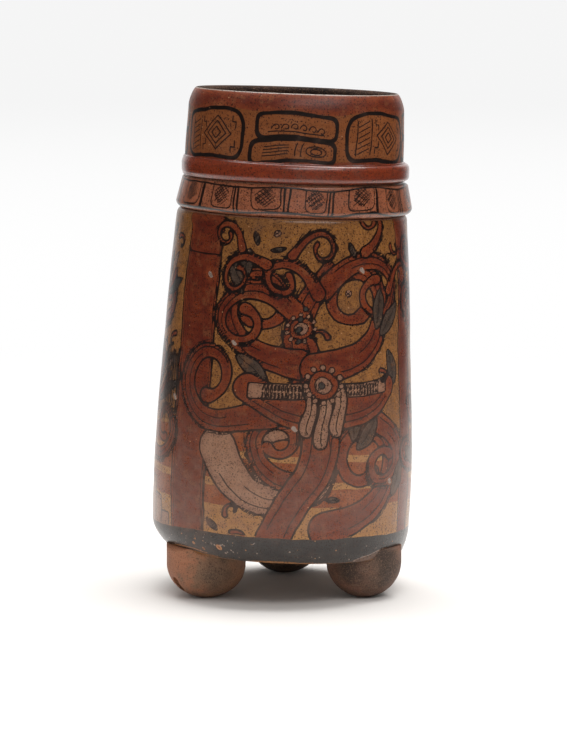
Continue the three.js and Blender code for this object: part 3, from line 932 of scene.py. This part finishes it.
@dataclass
class Vessel:
    """Everything above the feet: floor, wall, mouldings and neck."""

    form: Form = field(default_factory=Form)
    stance: Stance = field(default_factory=Stance)

    def build(self, course: Course, *finishes: Material) -> None:
        """Turn a piece, paint and smooth it, and stand it on the feet.

        Args:
            course: what is built.
            finishes: the outer finish first.
        """
        piece = Bench.turned(course.name, course.profile, course.steps)
        places = Bench.places(piece.data)
        radius = np.hypot(places[:, 0], places[:, 1])
        shown = np.flatnonzero(course.shown(radius, places[:, 2]))
        canvas = course.canvas(places[shown], course.girth, course.seed)
        canvas.paint(self.form)
        canvas.store(piece.data, shown)
        Bench.number(piece.data, course.inner)
        waver(places, *course.smooth)
        if course.trim:
            course.trim(places)
        Bench.put(piece.data, places)
        Bench.stand(piece, self.stance.matrix())
        for finish in finishes:
            piece.data.materials.append(finish)
        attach(piece, "cup")
        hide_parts(course.node)
        LOG.info("%s: %d faces", piece.name, len(piece.data.polygons))

    def floor(self) -> Course:
        """Return the floor slab with its rounded edge."""
        form = self.form
        rim = follow(form.outer, 0.35, form.joint, 26)
        profile = [(0, 0), (12, 0), (25, 0), (38, 0), (46, 0), (rim[0][0] - 1, 0),
                   (rim[0][0] - 0.35, 0.08), *rim, (46, form.joint), (20, form.slab_top),
                   (0, form.slab_top)]

        def inner(radius: np.ndarray, height: np.ndarray) -> np.ndarray:
            """Number the underside 1 and the top 2, out to the shelf that the wall hides."""
            return (radius < form.shelf) * (1 + (height > form.slab_top - 0.5))

        return Course("floor_slab", "base_disc", "base_slip", profile, 900, 314, 5, Slab,
                      (21, 0.28), form.pare, inner=inner)

    def body(self) -> Course:
        """Return the wall with the painted register."""
        form = self.form
        round_in, round_up = form.shoulder_round
        bend = form.shoulder_height - round_up
        profile = [
            *follow(form.outer, form.joint, bend, 180),
            *bow((form.skin(bend) - round_in, bend), form.shoulder_round, 8, 90, 8),
            (form.neck_foot_radius, form.shoulder_height), (form.neck_foot_radius, form.wall_top),
            (form.bore(form.shoulder_height), form.wall_top),
            *follow(form.bore, form.shoulder_height, form.cove_top, 9),
            *bow((form.bore(form.cove_top) - form.cove, form.cove_top),
                 (form.cove, form.cove), -25, -90, 4),
        ]
        return Course("painted_wall", "body_wall", "body_slip", [*profile, profile[0]], 440, 314,
                      11, Register, (21, 0.28), form.pare,
                      shown=lambda r, h: r > np.array([form.skin(z) for z in h]) - 4,
                      inner=lambda r, h: r < form.lining)

    def panels(self) -> Course:
        """Return the panel moulding with its ring of panels."""
        form = self.form
        foot, top = form.shoulder_height, form.wall_top - form.groove
        proud, turn, top_proud, top_turn = 3.6, 2.7, 1.6, 1.2
        low = form.neck_foot_radius + proud - turn
        high = form.neck_foot_radius + top_proud - top_turn
        face = bow((low, foot + turn), (turn, turn), -90, 0, 9)
        crown = bow((high, top - top_turn), (top_turn, top_turn), 0, 90, 6)
        middle = [(a[0], a[1]) for a in np.linspace(face[-1], crown[0], 26)[1:-1]]
        back = form.neck_foot_radius - 0.05
        profile = [(back, foot), *face, *middle, *crown, (back, top), (back, foot)]
        return Course("panel_strip", "panel_moulding", "panel_slip", profile, 820, 308, 12,
                      PanelBand, (22, 0.22), form.shift)

    def collar(self) -> Course:
        """Return the plain collar, with the slip that pools along its top."""
        form = self.form
        foot, top = form.neck_foot, form.neck_foot + form.collar_height
        edge = form.neck_foot_radius + 2 - 1.9
        back = form.neck_foot_radius - 0.1
        profile = [(back, foot), *bow((edge, foot + 2.4), (1.9, 2.4), -90, 0, 12),
                   *bow((edge, top - 3.2), (1.9, 3.2), 0, 84, 16),
                   *bow((back + 0.75, top + 0.62), (0.72, 0.6), 268, 182, 5), (back, foot)]
        return Course("collar_strip", "collar_moulding", "red_slip", profile, 420, 300, 13,
                      Plain, (23, 0.3), form.shift)

    def neck(self) -> Course:
        """Return the neck with its lip and the band of cartouches."""
        form = self.form
        foot, top = form.neck_foot, form.neck_top
        lip_foot = top - form.lip_height
        crest = form.neck_foot_radius - form.neck_taper - form.lip_inset
        lip_in, lip_drop = form.lip_round
        bore = crest - lip_in

        def side(height: float) -> float:
            """Return the neck's outer radius below the lip."""
            share = (height - foot) / form.neck_height
            return form.neck_foot_radius - form.neck_taper * share**2

        def lip(height: float) -> float:
            """Return the lip's outer radius."""
            share = min((height - lip_foot) / form.lip_height, 1)
            reach = side(lip_foot) - crest
            return crest + reach * (1 - share**form.lip_power) ** (1 / form.lip_power)

        def inside(height: float) -> float:
            """Return the neck's inner radius."""
            return bore + (form.neck_bore - bore) * (top - height) / form.neck_height

        rise = np.linspace(0, math.pi / 2, 20)[1:]
        turn = [lip_foot + form.lip_height * math.sin(a) for a in rise]
        profile = [(form.neck_foot_radius, form.wall_top), *follow(side, foot, lip_foot, 66),
                   *[(lip(h), h) for h in turn],
                   *bow((crest, top - lip_drop), form.lip_round, 105, 180, 5),
                   *follow(inside, top - 4, foot, 10),
                   (form.neck_bore, form.wall_top), (form.neck_foot_radius, form.wall_top)]
        return Course("painted_neck", "neck_wall", "neck_slip", profile, 660, 286, 14,
                      NeckBand, (24, 0.25), shown=lambda r, h: r > crest - 0.5,
                      inner=lambda r, h: r < np.where(h < lip_foot, form.neck_lining, crest - 0.2))


# What is painted


def chip(canvas: Canvas) -> None:
    """Chip and crack the dark band at the foot of the vessel."""
    random = np.random.default_rng(8)
    for count, reach in ((60, (-64, -18)), (70, (-157, 157))):
        for _ in range(count):
            spot = (random.uniform(*reach), random.uniform(0.8, 10))
            canvas.lay(disc(spot), random.uniform(0.14, 0.36), Slip.PALE, 0)
    chips = ((-24.8, 4.9, 1.05), (-36.4, 4.2, 0.7), (-35.6, 6.8, 0.5), (-35.2, 8.3, 0.4),
             (-32.4, 2.9, 0.62), (-43.6, 8.2, 0.45), (-52, 9.4, 0.4), (21, 6, 0.3),
             (-14, 5, 0.28), (52, 7, 0.4))
    pits = ((-24.8, 4.9, 0.45), (-32.4, 2.9, 0.3))
    for spots, slip in ((chips, Slip.CHIP), (pits, Slip.BROWN)):
        for u, v, size in spots:
            canvas.lay(disc((u, v)), size, slip, 0)
    canvas.line([(44.4, 9), (44.7, 6), (44.3, 1.6)], 0.2)


class Slab(Canvas):
    """The dark floor slab, with a smear of clay from the feet and pale lines at its edge, the one
    above the right foot a painted highlight.
    """

    def paint(self, form: Form) -> None:
        """Paint the slab and chip it."""
        self.belt(0.5, 30, Slip.DARK)
        smear = [(29, 0.3), (34, 0.9), (39, 1.5), (43, 2.1), (47, 2.7)]
        self.lay(smear, [0.3, 1.0, 1.4, 1.9, 2.2], Slip.CLAY, 0)
        # Painted highlight: a pale line along the edge above the right foot, where the edge catches
        # the light.
        self.lay([(30, 0.8), (34, 1.9), (39, 2.9), (43, 4.0), (46, 4.8)], 0.2, Slip.PALE, 0)
        self.lay([(-66, 2.2), (-52, 2.1), (-40, 1.6), (-32, 1.0)], 0.17, Slip.CHIP, 0)
        chip(self)


class Plain(Canvas):
    """The collar, red all over."""

    def paint(self, form: Form) -> None:
        """Paint the whole collar."""
        self.belt(100, 200, Slip.RED)


class Register(Motifs):
    """The generic scrollwork on the body wall."""

    def paint(self, form: Form) -> None:
        """Paint the register from the ground up."""
        self.belt(8, 54.4, Slip.GOLD)
        for low, high in ((45, 53), (34.5, 42.5), (23.5, 31.5)):
            self.belt(low, high, Slip.ORANGE)
        for middle, half in ((-41, 9.6), (60, 5.4), (120, 7.4), (-116, 8.2)):
            self.post(middle, 8, 138.5, half)
        self.bloom(9)
        self.vine(82)
        self.fans(-78)
        self.hooks(160)
        self.fill(14, 137, 3000)
        for u, v in ((-37, 117), (-22, 90), (3, 57), (-52, 64), (31, 121), (47, 33)):
            self.lay([(u, v), (u + 0.9, v - 1.1), (u + 2, v - 1.3)], [0.9, 0.7, 0.1], Slip.PALE, 0)
        self.belt(-9, 10.8, Slip.DARK)
        chip(self)
        # The shoulder ledge under the panels is mauve slip, its greyish tone partly a painted
        # highlight of the ledge catching the light.
        self.belt(140.6, 160, Slip.MAUVE, even=True)

    def bloom(self, u: float) -> None:
        """Paint the flowering scroll plant with its swag."""
        self.scroll((u - 36, 47), -66, 112, 400, 8.0, Slip.MAUVE, 9, 1.5)
        self.scrolls(u, (-2, 33, 165, 66, -410, 5.0, 9), (8, 15, 14, 104, 400, 7.0, 12))
        self.flow(u, [(-12, 10, 6.6), (-5, 26, 6.4), (4, 42, 6.8), (6, 62, 8)], Slip.RED, (-0.55, 0.5))
        self.scrolls(u, (26, 60, -20, 66, -400, 5.2, 9), (-16, 62, 200, 92, -400, 6.4, 12))
        stem = self.flow(u, [(5, 66, 9), (-2, 84, 7.4), (-5, 98, 6), (-1, 110, 4.6),
                             (7, 121, 3.2)], Slip.RED, (-0.5, 0.45), 10)
        self.scrolls(u, (-4, 82, 172, 96, -410, 6.2, 12), (3, 80, 14, 104, 400, 6.4, 12),
                     (-5, 102, 140, 76, 400, 4.8, 10), (5, 114, 40, 84, -410, 4.6, 10),
                     (2, 112, 120, 46, 380, 3.2, 7))
        for x, v, way in ((20, 47, 46), (18, 50, 78), (-17, 74, 132), (30, 96, 74), (32, 94, 40),
                          (-30, 112, 70), (-28, 110, 112), (42, 72, 100), (40, 26, 60)):
            self.leaf((u + x, v), way, 17, 3.1)
        self.flow(u, [(-24, 72, 5.5), (-10, 65, 7), (8, 62, 7.6), (24, 65, 6.8), (36, 72, 5)],
                  Slip.RED, (-0.6, -0.2))
        self.strap((u - 21, 71), (u + 33, 73), 3.0)
        for shift, drop in ((0, 16), (6, 21), (12, 17)):
            self.flow(u + shift, [(0, 73, 2.6), (1, 66, 2.6), (-1, 73 - drop, 2.9),
                                  (0, 70 - drop, 1.4)], Slip.MAUVE, (0,))
        self.rosette((u + 6, 74), 5.6, 12)
        self.rosette((u - 4, 97), 4.8, 11)
        self.chain(stem[12:22], 1.1, 3, Slip.DARK)
        self.scrolls(u, (-18, 121, 150, 46, 390, 2.5, 8), (-8, 126, 60, 40, -380, 2.2, 6),
                     (24, 128, 30, 44, 400, 2.4, 7), (38, 112, 70, 40, -380, 2.2, 6),
                     (-30, 128, 100, 30, 380, 1.9, 5))

    def vine(self, u: float) -> None:
        """Paint the wavy vine with leaves."""
        heights = np.linspace(9, 136, 70)
        path = np.stack([u + 10 * np.sin(heights / 10.5 + 0.6), heights], 1)
        self.lay(path, 3.0, Slip.RED, 0.27)
        self.line(beside(path, 1.2), 0.16)
        for i, height in enumerate(np.arange(16, 134, 10.5)):
            side = 1 if i % 2 else -1
            foot = (u + 10 * math.sin(height / 10.5 + 0.6) + side * 2, height)
            self.scroll(foot, 90 - side * 100, 40, side * 380, 2.6, Slip.RED, 5)
            self.leaf(foot, 90 - side * 48, 15, 2.7)
            self.leaf(foot, 90 - side * 8, 12, 2.2)
        self.rosette((u + 16, 44), 5, 11)
        self.rosette((u - 15, 101), 5, 11)

    def fans(self, u: float) -> None:
        """Paint plume fans over steps, with a fringe at one side."""
        self.stairs((u - 24, 10), 6.2, 4, 1, Slip.RED)
        self.stairs((u + 25, 10), 6.2, 4, -1, Slip.MAUVE)
        self.scrolls(u, (3, 40, -10, 62, 400, 3.8, 10), (-3, 40, 190, 62, -400, 3.8, 10))
        self.plumes((u, 62), range(8, 182, 12), 30, 3.0)
        self.rosette((u, 62), 6.5, 13)
        self.fringe(u + 16, u + 30, 86, 48)
        self.scrolls(u, (3, 92, 20, 58, 390, 3.6, 9), (-3, 92, 160, 58, -390, 3.6, 9))
        self.plumes((u, 106), range(8, 182, 14), 26, 2.8)
        self.rosette((u, 106), 5.4, 11)
        self.strap((u - 20, 86), (u + 12, 84), 2.4)

    def hooks(self, u: float) -> None:
        """Paint large frets and scrolls."""
        for height, slip in ((13, Slip.RED), (56, Slip.MAUVE), (99, Slip.RED)):
            self.fret((u - 28, height), 22, 1, slip)
            self.fret((u + 30, height), 22, -1, slip)
            self.scrolls(u, (1, height + 14, 20, 52, 400, 3.2, 8),
                         (-1, height + 14, 160, 52, -400, 3.2, 8))
            self.rosette((u, height + 10), 4.8, 11)
            for way in (62, 90, 118):
                self.leaf((u, height + 20), way, 14, 2.4)


class PanelBand(Canvas):
    """The ring of hatched panels on the lower moulding."""

    count = 15

    def paint(self, form: Form) -> None:
        """Paint the panels between the moulding's foot and top."""
        random = self.random
        low, high = form.shoulder_height + 1.5, form.wall_top - form.groove - 1.0
        edges = np.cumsum(random.uniform(0.93, 1.07, self.count))
        edges = edges / edges[-1] * self.girth - self.girth / 2 + 3.2
        around = np.linspace(-self.girth / 2, self.girth / 2, 120)
        uneven = random.uniform(0.3, 0.62, 120)
        self.line(np.stack([around, np.full(120, low)], 1), uneven)
        self.line(np.stack([around, np.full(120, high)], 1), 0.34)
        for i, right in enumerate(edges):
            left = edges[i - 1] if i else edges[-1] - self.girth
            wide = right - left
            double = random.integers(0, 3)
            self.line([(right, low), (right + random.uniform(-0.4, 0.4), high)],
                      0.46 if double else 0.8)
            if double:
                self.line([(right - 1.9, low), (right - 1.8, high)], 0.42)
            start = left + wide * random.uniform(0.28, 0.36)
            end = right - (3.2 if double else 1.9)
            turn = [(start, high), (start + 0.1, low + 3.4), (start + 0.8, low + 2.0),
                    (start + 2.4, low + 1.3), (end - 2.2, low + 1.3), (end - 0.7, low + 2.0),
                    (end, low + 3.4), (end + 0.1, high)]
            self.line(turn, 0.27)
            middle = np.array([(start + end) / 2, (low + high) / 2 + 1.5])
            for tilt in (38, -42):
                along = np.array([math.cos(math.radians(tilt)), math.sin(math.radians(tilt))])
                across = np.array([-along[1], along[0]])
                for step in np.arange(-3.2, 3.3, 1.05):
                    spot = middle + across * step + random.uniform(-0.3, 0.3, 2)
                    reach = (4.2 - 0.55 * abs(step)) * random.uniform(0.8, 1.1)
                    self.line([spot - along * reach, spot + along * reach], [0.22, 0.12])


class NeckBand(Canvas):
    """The ring of framed cartouches with plain geometric fillings."""

    pitch = 49.5
    heavy = 0.78

    def paint(self, form: Form) -> None:
        """Paint the red edges and the cartouches between the collar and the lip."""
        foot, top = form.neck_foot + form.collar_height, form.neck_top
        self.belt(foot - 20, top + 20, Slip.BROWN)
        self.belt(foot + 21.2, top + 20, Slip.RED)
        self.belt(foot - 20, foot + 1.6, Slip.RED)
        # A pale line along the lip's crest: partly worn clay, partly a painted highlight of the crest
        # catching the light.
        self.belt(top - 0.3, top + 20, Slip.PALE, even=True)
        degree = self.girth / 360
        for i in range(-3, 4):
            middle = i * self.pitch * degree + self.random.uniform(-0.5, 0.5)
            wide = 18.4 + self.random.uniform(-0.6, 0.6)
            if i % 2:
                self.frame(middle, foot + 10.9, wide, 10.2)
                self.lozenges(middle, foot + 10.9, wide - 2)
            else:
                self.frame(middle + 0.5, foot + 15.4, wide, 5.6)
                self.frame(middle - 0.6, foot + 5.2, wide + 0.6, 5.2)
                self.waves(middle, foot + 15.4, wide - 3)
                self.bars(middle, foot + 5.2, wide - 3)

    def frame(self, u: float, v: float, wide: float, tall: float) -> None:
        """Draw one thick rounded frame."""
        path = [(u - wide + tall, v), (u + wide - tall, v + 0.1)]
        self.lay(path, tall - self.heavy, Slip.BROWN, self.heavy, 3.4)

    def lozenges(self, u: float, v: float, wide: float) -> None:
        """Fill a frame with nested lozenges, a hatched bar and steps."""
        for size in (6.6, 4.4, 2.2):
            shape = [(u + 4.4 + x * size * 1.15, v + y * size)
                     for x, y in ((-1, 0), (0, 1), (1, 0), (0, -1), (-1, 0))]
            self.line(shape, 0.28)
        for step in range(6):
            low = v - 6.6 + step * 2.2
            self.line([(u - wide * 0.74, low), (u - wide * 0.44, low + 1.6)], 0.24)
        for aside in (-0.8, -0.38):
            self.line([(u + wide * aside, v - 7), (u + wide * aside + 0.3, v + 7)], 0.28)
        for place in (-0.24, 0.76):
            stair = [(0, -6.8), (0, -4.6), (1.7, -4.6), (1.7, -2.4)]
            self.line([(u + wide * place + x, v + y) for x, y in stair], 0.26)
            self.line([(u + wide * place + x, v - y) for x, y in stair], 0.26)

    def waves(self, u: float, v: float, wide: float) -> None:
        """Fill a frame with a row of small waves."""
        for spot in np.linspace(-wide * 0.72, wide * 0.6, 6):
            self.line(curl((u + spot, v - 1.4), 70, 6.5, -300, 1.5, 20), 0.24)
        self.line([(u - wide * 0.8, v - 2.6), (u, v - 2.9), (u + wide * 0.8, v - 2.5)], 0.24)

    def bars(self, u: float, v: float, wide: float) -> None:
        """Fill a frame with bars and an eyelet."""
        for height in (-1.8, -0.5, 0.8, 2.0):
            self.line([(u - wide * 0.85, v + height), (u - wide * 0.2, v + height)], 0.22)
        for spot in (0.0, 0.16):
            self.line(curl((u + wide * spot, v - 2.4), 100, 5.2, -30, 1, 10), 0.26)
        angles = np.linspace(0, 2 * np.pi, 24)
        for share in (1, 0.55):
            ring = np.stack([u + wide * 0.58 + 4.4 * share * np.cos(angles),
                             v + 2.2 * share * np.sin(angles)], 1)
            self.line(ring, 0.26)


# Feet and pellets


def dent(places: np.ndarray, seed: int, pitch: float, count: int, share: float, bias: float) -> None:
    """Dent a lump a little all over, inwards only, by a sum of waves."""
    random = np.random.default_rng(seed)
    waves = sum(np.sin(places @ random.normal(0, pitch, 3) + random.uniform(0, 6))
                for _ in range(count)) / 4
    places *= (1 - share * np.clip(waves + bias, 0, 2))[:, None]


@dataclass
class Foot:
    """One hollow round foot with its vent slot and its two loose pellets."""

    name: str
    centre: Place
    radius: float
    depth: float
    lap: float
    slot_azimuth: float
    slot_dip: float
    shell: float = 3.6
    dome: float = 0.75
    wear: float = 0.5
    top: float = 19.1
    lap_width: float = 1
    bite: float = 0.4
    slot_length: float = 7.5
    slot_width: float = 3.6
    slot_round: float = 1.75
    pellet: float = 4.0
    pellet_gap: float = 0.4
    seam: float = 0.3

    def bulb(self) -> Thing:
        """Turn the bulb, a little uneven, worn flat below and upright above its widest place."""
        flat = self.depth - self.wear
        worn = math.degrees(math.asin(flat / self.depth))
        profile = [(0, -flat), *bow((0, 0), (self.radius, self.depth), -worn, 0, 44),
                   *[(self.radius, float(h)) for h in np.linspace(0, self.top, 24)[1:]], (0, self.top)]
        piece = Bench.turned(f"ball_foot_{self.name}", profile, 132)
        places = Bench.places(piece.data)
        dent(places, int(self.slot_azimuth) + 3, 0.16, 9, 0.009, 0.7)
        places[:, 2] = np.maximum(places[:, 2], -flat)
        Bench.put(piece.data, places)
        return piece

    def core(self, hollow: Material) -> Thing:
        """Return the hollow as a block."""
        radius, depth = self.radius - self.shell, self.depth - self.shell
        profile = [*bow((0, 0), (radius, depth), -90, 0, 18),
                   *bow((0, 0), (radius, depth * self.dome), 0, 90, 14)[1:]]
        piece = Bench.turned("core", profile, 64)
        piece.data.materials.append(hollow)
        return piece

    @staticmethod
    def leaning(vessel: Vessel, profile: Points) -> Thing:
        """Return a turned block that is pared and leans as the vessel does."""
        block = Bench.turned("block", profile, 180)
        marks = Bench.places(block.data)
        vessel.form.pare(marks)
        Bench.put(block.data, marks)
        Bench.stand(block, vessel.stance.matrix())
        return block

    def build(self, vessel: Vessel, clay: Material, hollow: Material) -> None:
        """Shape the bulb, hollow it, cut its slot and press it against the vessel.

        Args:
            vessel: what the bulb is pressed against.
            clay: the finish outside.
            hollow: the finish inside.
        """
        form = vessel.form
        ball = self.bulb()
        ball.data.materials.append(clay)
        Bench.carve(ball, self.core(hollow))
        Bench.carve(ball, self.slot_cutter(hollow))
        Bench.stand(ball, Matrix.Translation([c * MM for c in self.centre]))
        rim, lap, deep = form.outer(self.lap) + self.lap_width, self.lap, 19
        room = [(0, -2 * deep), (rim + deep, -2 * deep), (rim + deep, lap - deep),
                (rim + 0.6, lap - 0.95), (rim + 0.1, lap - 0.45), (rim - 0.7, lap - 0.1),
                (0, lap - 0.1)]
        Bench.carve(ball, self.leaning(vessel, room), "INTERSECT")
        pressed = [(0, 0), (20, 0), *follow(lambda h: form.outer(h) - self.bite, 0, 24, 30), (0, 24)]
        Bench.carve(ball, self.leaning(vessel, pressed))
        Bench.stand(ball, Matrix.Identity(4), 55)
        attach(ball, "cup")
        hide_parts(f"foot_{self.name}")
        LOG.info("%s: %d faces", ball.name, len(ball.data.polygons))

    def slot_cutter(self, hollow: Material) -> Thing:
        """Return the round-ended bar that cuts the vent slot."""
        Bench.clear()
        bpy.ops.mesh.primitive_cube_add(size=MM)
        bar = bpy.context.object
        bar.scale = (3 * self.shell, self.slot_length, self.slot_width)
        bpy.ops.object.transform_apply()
        soft = bar.modifiers.new("soft", "BEVEL")
        soft.width = self.slot_round * MM
        soft.segments = 5
        bpy.ops.object.modifier_apply(modifier=soft.name)
        bar.location = ((self.radius - self.shell / 2) * MM, 0, 0)
        bpy.ops.object.transform_apply()
        for turn in ((math.pi / 2, math.radians(self.slot_dip), 0),
                     (0, 0, math.radians(self.slot_azimuth))):
            bar.rotation_euler = turn
            bpy.ops.object.transform_apply()
        # The slot's cut walls take the very dark inside finish, like the hollow, so the slot reads
        # dark.
        bar.data.materials.append(hollow)
        return bar

    def resting_depth(self, aside: float) -> float:
        """Return how far below the bulb's middle a pellet rests, that far aside of it."""
        radius, depth = self.radius - self.shell, self.depth - self.shell
        low, high, down = 0.0, math.pi / 2, 0.0
        while high - low > 1e-9:
            angle = (low + high) / 2
            across, along = math.sin(angle) / radius, math.cos(angle) / depth
            reach = (self.pellet + self.seam) / math.hypot(across, along)
            down = depth * math.cos(angle) - reach * along
            if radius * math.sin(angle) - reach * across < aside:
                low = angle
            else:
                high = angle
        return down

    def pellets(self, clay: Material) -> None:
        """Roll the two loose pellets that lie in the hollow."""
        aside = self.pellet + self.pellet_gap / 2
        drop = self.resting_depth(aside)
        for i, side in enumerate((-aside, aside)):
            Bench.clear()
            bpy.ops.mesh.primitive_ico_sphere_add(subdivisions=4, radius=self.pellet * MM)
            lump = bpy.context.object
            lump.name = f"rattle_{self.name}_{i + 1}"
            lump.data.name = lump.name
            places = Bench.places(lump.data)
            dent(places, 40 + i + int(self.slot_azimuth), 0.6, 8, 0.05, 0.8)
            Bench.put(lump.data, places)
            spot = (self.centre[0], self.centre[1] + side, self.centre[2] - drop)
            Bench.stand(lump, Matrix.Translation([c * MM for c in spot]), 60)
            lump.data.materials.append(clay)
            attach(lump, f"pellet_{self.name}_{i + 1}")
            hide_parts(f"pellet_{self.name}_{i + 1}")
            LOG.info("%s: %d faces", lump.name, len(lump.data.polygons))


# The studio


@dataclass(frozen=True)
class Studio:
    """A white sheet, soft lamps, a dark room in front and the camera. Lengths in metres."""

    distance: float = 1.38633
    height: float = 0.25908
    aside: float = 0.0005
    dip: float = 6.926
    focal: float = 3316.2 / 750 * 36
    # Painted bounce light: the sheet near the cup is tinted warm, so where it is lit it clips to white
    # and in the shadow it shows as warm light from the cup.
    sheet_colour_warm_bounce: tuple[float, ...] = (0.72, 0.695, 0.67, 1)
    paper: float = 1.0
    far_paper: float = 0.915
    ambient: float = 0.4
    dark_room: float = 0.03

    def build(self) -> None:
        """Set the scene for the photograph."""
        scene = bpy.context.scene
        scene.view_settings.view_transform = "Standard"
        self.floor()
        self.sky()
        plain = (0.8, 0.6)
        for name, place, size, power in (("overhead", (0.08, 0.3, 1.5), (1.6, 1.0), 37),
                                         ("softbox", (0.45, -0.95, 1.1), (1.2, 0.4), 6.5),
                                         ("left", (-1.0, -0.1, 1.2), plain, 1.5),
                                         ("right", (1.0, -0.1, 1.2), plain, 2),
                                         ("fill", (-0.3, -1.7, 0.6), plain, 1.5)):
            self.lamp(name, place, size, power).visible_glossy = size != plain
        self.camera()

    def floor(self) -> None:
        """Lay the sheet, lit by the lamps near the cup and glowing white further off. Its warm tint
        near the cup is painted bounce light in the shadow, and its glow dims far off in a painted
        fall-off.
        """
        Bench.clear()
        bpy.ops.mesh.primitive_plane_add(size=60)
        sheet = bpy.context.object
        sheet.name = "studio_floor"
        g = Graph.material("studio_white")
        x, y = g.axis("X"), g.axis("Y")
        away = g.node("ShaderNodeMath", {"operation": "SQRT"}, {0: x * x + y * y})
        far = away.over(0.56, 0.7)
        seen = g.ray("Camera") + g.ray("Glossy") * self.behind(y.math("DIVIDE", y, away))
        # Painted fall-off of light: the sheet's glow dims from 3.4 to 4.4 m away, down to the level of
        # the backdrop.
        shade = self.paper - away.over(3.4, 4.4) * (self.paper - self.far_paper)
        glow = g.node("ShaderNodeEmission", {}, {"Strength": far * seen * shade})
        # The warm sheet colour near the cup, painted bounce light in its shadow.
        white = g.mix(far, self.sheet_colour_warm_bounce, (0, 0, 0, 1))
        matt = g.node("ShaderNodeBsdfDiffuse", {}, {"Color": white})
        g.surface(g.node("ShaderNodeAddShader", {}, {0: matt, 1: glow}))
        sheet.data.materials.append(g.owner)

    @staticmethod
    def behind(direction: Wire) -> Wire:
        """Return 1 for a direction away from the camera, where the white paper hangs."""
        return direction.over(0.85, 0.24)

    def sky(self) -> None:
        """Surround the scene: white behind, dark in front, with a low even light."""
        world = bpy.data.worlds.new("studio_sky")
        bpy.context.scene.world = world
        g = Graph(world, "Generated")
        camera, glossy = g.ray("Camera"), g.ray("Glossy")
        others = (1 - camera) * (1 - glossy) * self.ambient
        white = camera + glossy * (self.behind(g.axis("Y")) + self.dark_room)
        strength = white * self.far_paper + others
        back = g.node("ShaderNodeBackground", {}, {"Color": (1, 1, 1, 1), "Strength": strength})
        g.surface(back, "ShaderNodeOutputWorld")

    def lamp(self, name: str, place: Place, size: Spot, power: float) -> Thing:
        """Hang a soft box that faces the cup."""
        light = bpy.data.lights.new(name, "AREA")
        light.shape = "RECTANGLE"
        light.size, light.size_y = size
        light.energy = power
        holder = bpy.data.objects.new(name, light)
        bpy.context.scene.collection.objects.link(holder)
        holder.location = place
        aim = Vector((0, 0, 0.11)) - Vector(place)
        holder.rotation_euler = aim.to_track_quat("-Z", "Y").to_euler()
        return holder

    def camera(self) -> None:
        """Set up the camera."""
        view = bpy.data.cameras.new("camera")
        view.sensor_fit = "VERTICAL"
        view.sensor_height = 36
        view.lens = self.focal
        view.clip_end = 200
        holder = bpy.data.objects.new("camera", view)
        bpy.context.scene.collection.objects.link(holder)
        holder.location = (self.aside, -self.distance, self.height)
        holder.rotation_euler = (math.radians(90 - self.dip), 0, 0)
        bpy.context.scene.camera = holder


def main() -> None:
    """Build the cup in its studio."""
    logging.basicConfig(level=logging.INFO, format="%(message)s")
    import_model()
    Studio().build()
    everything = tuple(Slip)
    ochre = PaintedSlip("ochre_slip", ("946335", "6d4420"), everything, 0.29, shine=0.36).build()
    band = PaintedSlip("panel_slip", ("9a5c40", "82482f"), (), 0.04, 0.52).build()
    neck = PaintedSlip("neck_slip", ("784c35", "65402f"), everything, 0.1,
                       gloss=0.3, burnish=0.06, shine=0.3).build()
    red = PaintedSlip("red_slip", ("843318", "6c2713"), (), 0.1, gloss=0.2, burnish=0.6).build()
    smoked = BareClay("dark_inside_clay", "22100a", "382013", "0b0504", 0.95).build()
    clay = BareClay("bare_clay", "7c5b43", "96684a", "5a4534", blush=-0.037).build()
    darker = BareClay("darker_clay", "5f4738", "7a5240", "3a2b22").build()
    # Painted shade: the rear foot's clay is darkened to the tone of the shadow under the cup, so that
    # it merges with it.
    shaded = BareClay("shadow_toned_clay", "4c3c31", "5a4433", "2c221c").build()
    lump = BareClay("pellet_clay", "6d5240", "80603f", "4a372b").build()
    vessel = Vessel()
    under = BareClay("underside_clay", "7a5a40", "8a6242", "4c382a").build()
    vessel.build(vessel.floor(), ochre, under, smoked)
    vessel.build(vessel.body(), ochre, smoked)
    vessel.build(vessel.panels(), band)
    vessel.build(vessel.collar(), red)
    vessel.build(vessel.neck(), neck, smoked)
    for foot, skin in (
        (Foot("left", (-31.8098, -19.05, 13.5805), 16.524, 14.0805, 1.8, 213.5, 28.5), clay),
        (Foot("right", (34.1813, -19.05, 15.2195), 15.876, 15.7195, 4.4, 355, 41), darker),
        (Foot("rear", (1.1857, 38.1, 14.4), 16.2, 14.9, 3, 90, 38), shaded),
    ):
        foot.build(vessel, skin, smoked)
        foot.pellets(lump)


if __name__ == "__main__":
    main()
